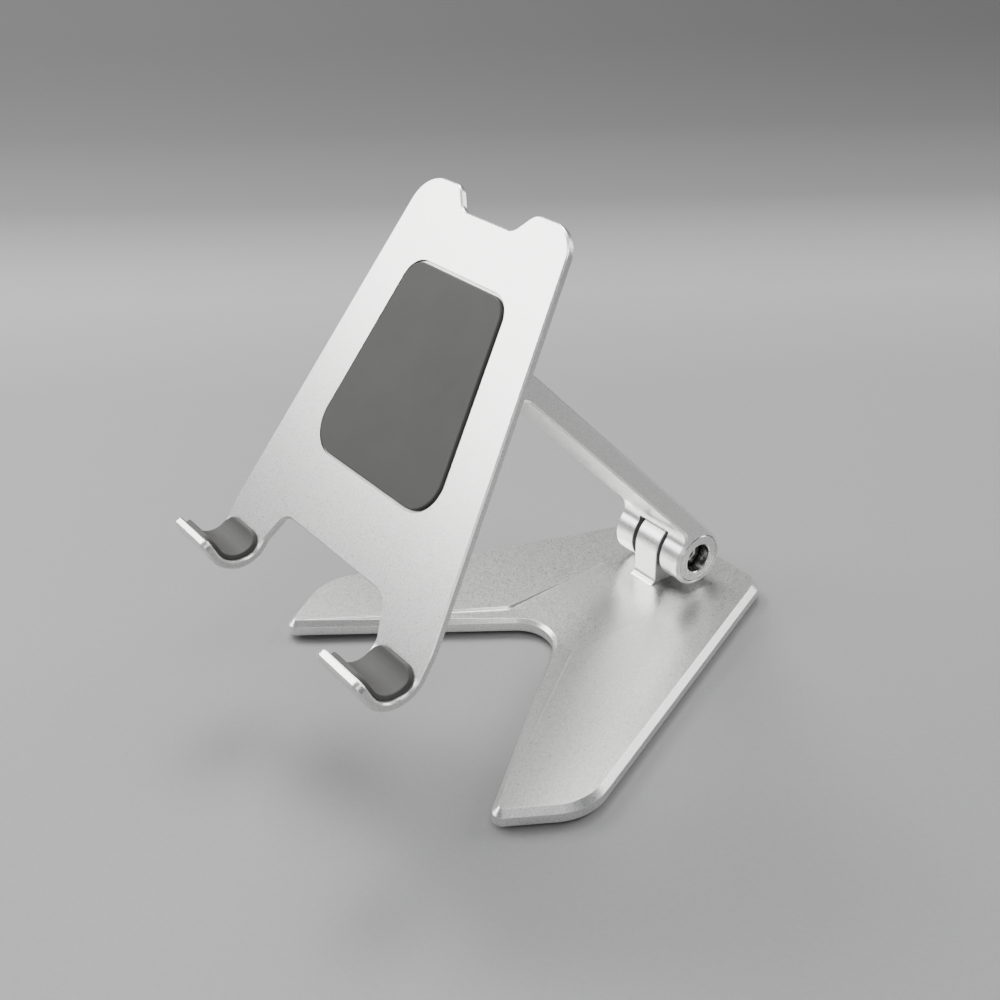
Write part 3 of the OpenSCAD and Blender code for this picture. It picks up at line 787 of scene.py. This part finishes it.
screws = None
for w in (-LUG_SCREW_W, LUG_SCREW_W):
    rings = lug_screw_rings(w) + [
        lug_screw_ring(hexagon, LUG_SCREW_AF, w, pocket_floor - depth)
        for depth in (LUG_SOCKET_TOP, LUG_SOCKET_DEPTH)
    ]
    one = skin("lug_screw", rings, cradle_point)
    if screws is None:
        screws = one
        screws.name = "countersunk_screws"
    else:
        merged = bmesh.new()
        merged.from_mesh(screws.data)
        merged.from_mesh(one.data)
        merged.to_mesh(screws.data)
        merged.free()
        bpy.data.objects.remove(one)
finish_piece(screws, "cradle", steel_high, ["lug_screws"])

# The pad is inset by PAD_GAP, so that its pocket's edge shows round it
pad_top = pocket_floor + PAD_T
pad_levels = [(SMALL_EDGE, pocket_floor), (0, pocket_floor + SMALL_EDGE)]
pad_levels += [(d, pad_top - drop) for d, drop in quarter_round(PAD_EDGE)]
pad_levels = [(PAD_GAP + d, n) for d, n in pad_levels]
pad = slab("silicone_pad", mirrored(pad_half), doubled(PAD_ROUNDS), pad_levels, cradle_point)
finish_piece(pad, "cradle", silicone, ["cradle_pad"], angle=40)

for side, word in ((-1, "left"), (1, "right")):
    middle = side * (HOOK_OUT - HOOK_W / 2)
    x0, x1 = middle - HOOK_PAD_HALF, middle + HOOK_PAD_HALF
    strip = hook_blank(x0, x1, LIP_LEN - HOOK_PAD_MARGIN, HOOK_PAD_FIRST)
    blank = [(x0, HOOK_PAD_TOP)] + strip + [(x1, HOOK_PAD_TOP)]
    radii = [HOOK_PAD_ROUND] + hook_radii(HOOK_PAD_ROUND, HOOK_PAD_FIRST) + [HOOK_PAD_ROUND]
    levels = [(0, HOOK_PAD_FIT)] + [(d, HOOK_PAD_T - drop) for d, drop in quarter_round(PAD_EDGE)]
    rings = [[(p.x, p.y, h) for p in outline(blank, radii, d)] for d, h in levels]
    hook_pad = skin(f"hook_silicone_{word}", rings, bent_point, rungs(0, len(rings[0])))
    finish_piece(hook_pad, "cradle", silicone, [f"hook_pad_{word}"], angle=40)

# ---------------------------------------------------------------- stage, light and camera


# All in metres. The floor runs back from the camera along AHEAD and sweeps up into a wall.
AHEAD = Vector((-0.799, 0.601))
FLOOR_FRONT, FLOOR_HALF, SWEEP_START, SWEEP_R, WALL_TOP = -1.2, 1.6, 0.5, 0.6, 1.8
# Distance behind the stand, and the painted light and shade on the floor there: a painted bright band, then
# painted shade towards the wall
FLOOR_PAINTED_LIGHT = ((0.11, 0.84), (0.19, 1.0), (0.22, 0.92), (0.30, 0.5), (0.42, 0.34), (0.60, 0.28))
RAMP_REACH = 0.7
PAPER_DARK, PAPER_LIGHT = 0.325, 0.345


def grey(value):
    return (value, value, value)


def floor_paper():
    """Grey paper with painted light and shade that change with the distance behind the stand."""
    mat, tree, shader = nodes_of("floor_paper")
    fibres = spread(tree, noise(tree, scale=900, detail=3, rough=0.6), 0, 1)
    paper = mixed(tree, fibres, grey(PAPER_DARK), grey(PAPER_LIGHT))
    where = add(tree, "ShaderNodeTexCoord").outputs["Object"]
    depth = add(
        tree, "ShaderNodeVectorMath", {0: where, 1: (AHEAD.x, AHEAD.y, 0)}, operation="DOT_PRODUCT",
    ).outputs["Value"]
    # Painted light and shade: a bright band behind the stand, darkening towards the wall
    light_ramp = add(tree, "ShaderNodeValToRGB", {"Fac": spread(tree, depth, 0.0, 1.0, 0.0, RAMP_REACH)})
    stops = light_ramp.color_ramp.elements
    for stop, (reach, value) in zip(stops, (FLOOR_PAINTED_LIGHT[0], FLOOR_PAINTED_LIGHT[-1])):
        stop.position, stop.color = reach / RAMP_REACH, (*grey(value), 1)
    for reach, value in FLOOR_PAINTED_LIGHT[1:-1]:
        stops.new(reach / RAMP_REACH).color = (*grey(value), 1)
    tone = mixed(tree, 1.0, paper, light_ramp.outputs["Color"], "MULTIPLY")
    tree.links.new(tone, shader.inputs["Base Color"])
    shader.inputs["Roughness"].default_value = 0.55
    shader.inputs["Specular IOR Level"].default_value = 0.3
    return mat


def backdrop(steps=24):
    """A floor that sweeps up far behind the stand, seen from the camera."""
    profile = [(FLOOR_FRONT, 0.0), (0.0, 0.0)]
    for k in range(steps + 1):
        a = math.pi / 2 * k / steps
        profile.append((SWEEP_START + SWEEP_R * math.sin(a), SWEEP_R * (1 - math.cos(a))))
    profile.append((SWEEP_START + SWEEP_R, WALL_TOP))
    across = Vector((AHEAD.y, -AHEAD.x))
    points = [
        (*(AHEAD * d + across * s), z) for s in (-FLOOR_HALF, FLOOR_HALF) for d, z in profile
    ]
    n = len(profile)
    mesh = bpy.data.meshes.new("floor")
    mesh.from_pydata(points, [], [(i, n + i, n + i + 1, i + 1) for i in range(n - 1)])
    for poly in mesh.polygons:
        poly.use_smooth = True
    obj = bpy.data.objects.new("floor", mesh)
    bpy.context.scene.collection.objects.link(obj)
    mesh.materials.append(floor_paper())


def area_light(name, place, size, power):
    """A rectangular light, in metres and watts, that points at the middle of the stand."""
    data = bpy.data.lights.new(name, "AREA")
    data.shape = "RECTANGLE"
    data.size, data.size_y = size
    data.energy = power
    obj = bpy.data.objects.new(name, data)
    obj.location = place
    obj.rotation_mode = "QUATERNION"
    obj.rotation_quaternion = (Vector(STAND_MIDDLE) - Vector(place)).to_track_quat("-Z", "Y")
    bpy.context.scene.collection.objects.link(obj)


def camera():
    """The photograph's viewpoint: place in metres, yaw, pitch and roll in radians, lens in mm."""
    place = (0.18535, -0.18954, 0.18302)
    yaw, pitch, roll = -0.92574, 0.54228, 0.023877
    ahead = Vector((math.cos(pitch) * math.sin(yaw), math.cos(pitch) * math.cos(yaw), -math.sin(pitch)))
    right = Vector((math.cos(yaw), -math.sin(yaw), 0))
    down = ahead.cross(right)
    x = math.cos(roll) * right + math.sin(roll) * down
    y = math.sin(roll) * right - math.cos(roll) * down
    turn = Matrix((x, y, -ahead)).transposed().to_4x4()
    data = bpy.data.cameras.new("camera")
    data.sensor_width, data.lens = 36, 46.56
    data.clip_start, data.clip_end = 0.01, 20
    obj = bpy.data.objects.new("camera", data)
    obj.matrix_world = Matrix.Translation(place) @ turn
    bpy.context.scene.collection.objects.link(obj)
    bpy.context.scene.camera = obj


backdrop()
world = bpy.data.worlds.new("studio")
world.use_nodes = True
background = world.node_tree.nodes["Background"]
background.inputs["Color"].default_value = (0.9, 0.93, 1.0, 1)
background.inputs["Strength"].default_value = 0.18
bpy.context.scene.world = world
STAND_MIDDLE = (0, -0.04, 0.05)
area_light("key", place=(-0.25, 0.25, 1.0), size=(0.8, 0.8), power=3.0)
area_light("left_rear", place=(-0.40, 0.22, 1.05), size=(0.35, 0.35), power=6.0)
area_light("rear", place=(0.28, 0.85, 0.52), size=(0.5, 0.4), power=5.0)
area_light("front", place=(-0.75, -0.66, 0.56), size=(0.7, 0.4), power=7.5)
area_light("left", place=(-0.85, -0.12, 0.90), size=(0.5, 0.45), power=12.0)
area_light("right_high", place=(0.52, -0.12, 0.95), size=(0.4, 0.4), power=3.0)
area_light("fill", place=(0.8, -0.9, 0.45), size=(0.8, 0.5), power=3.0)
camera()
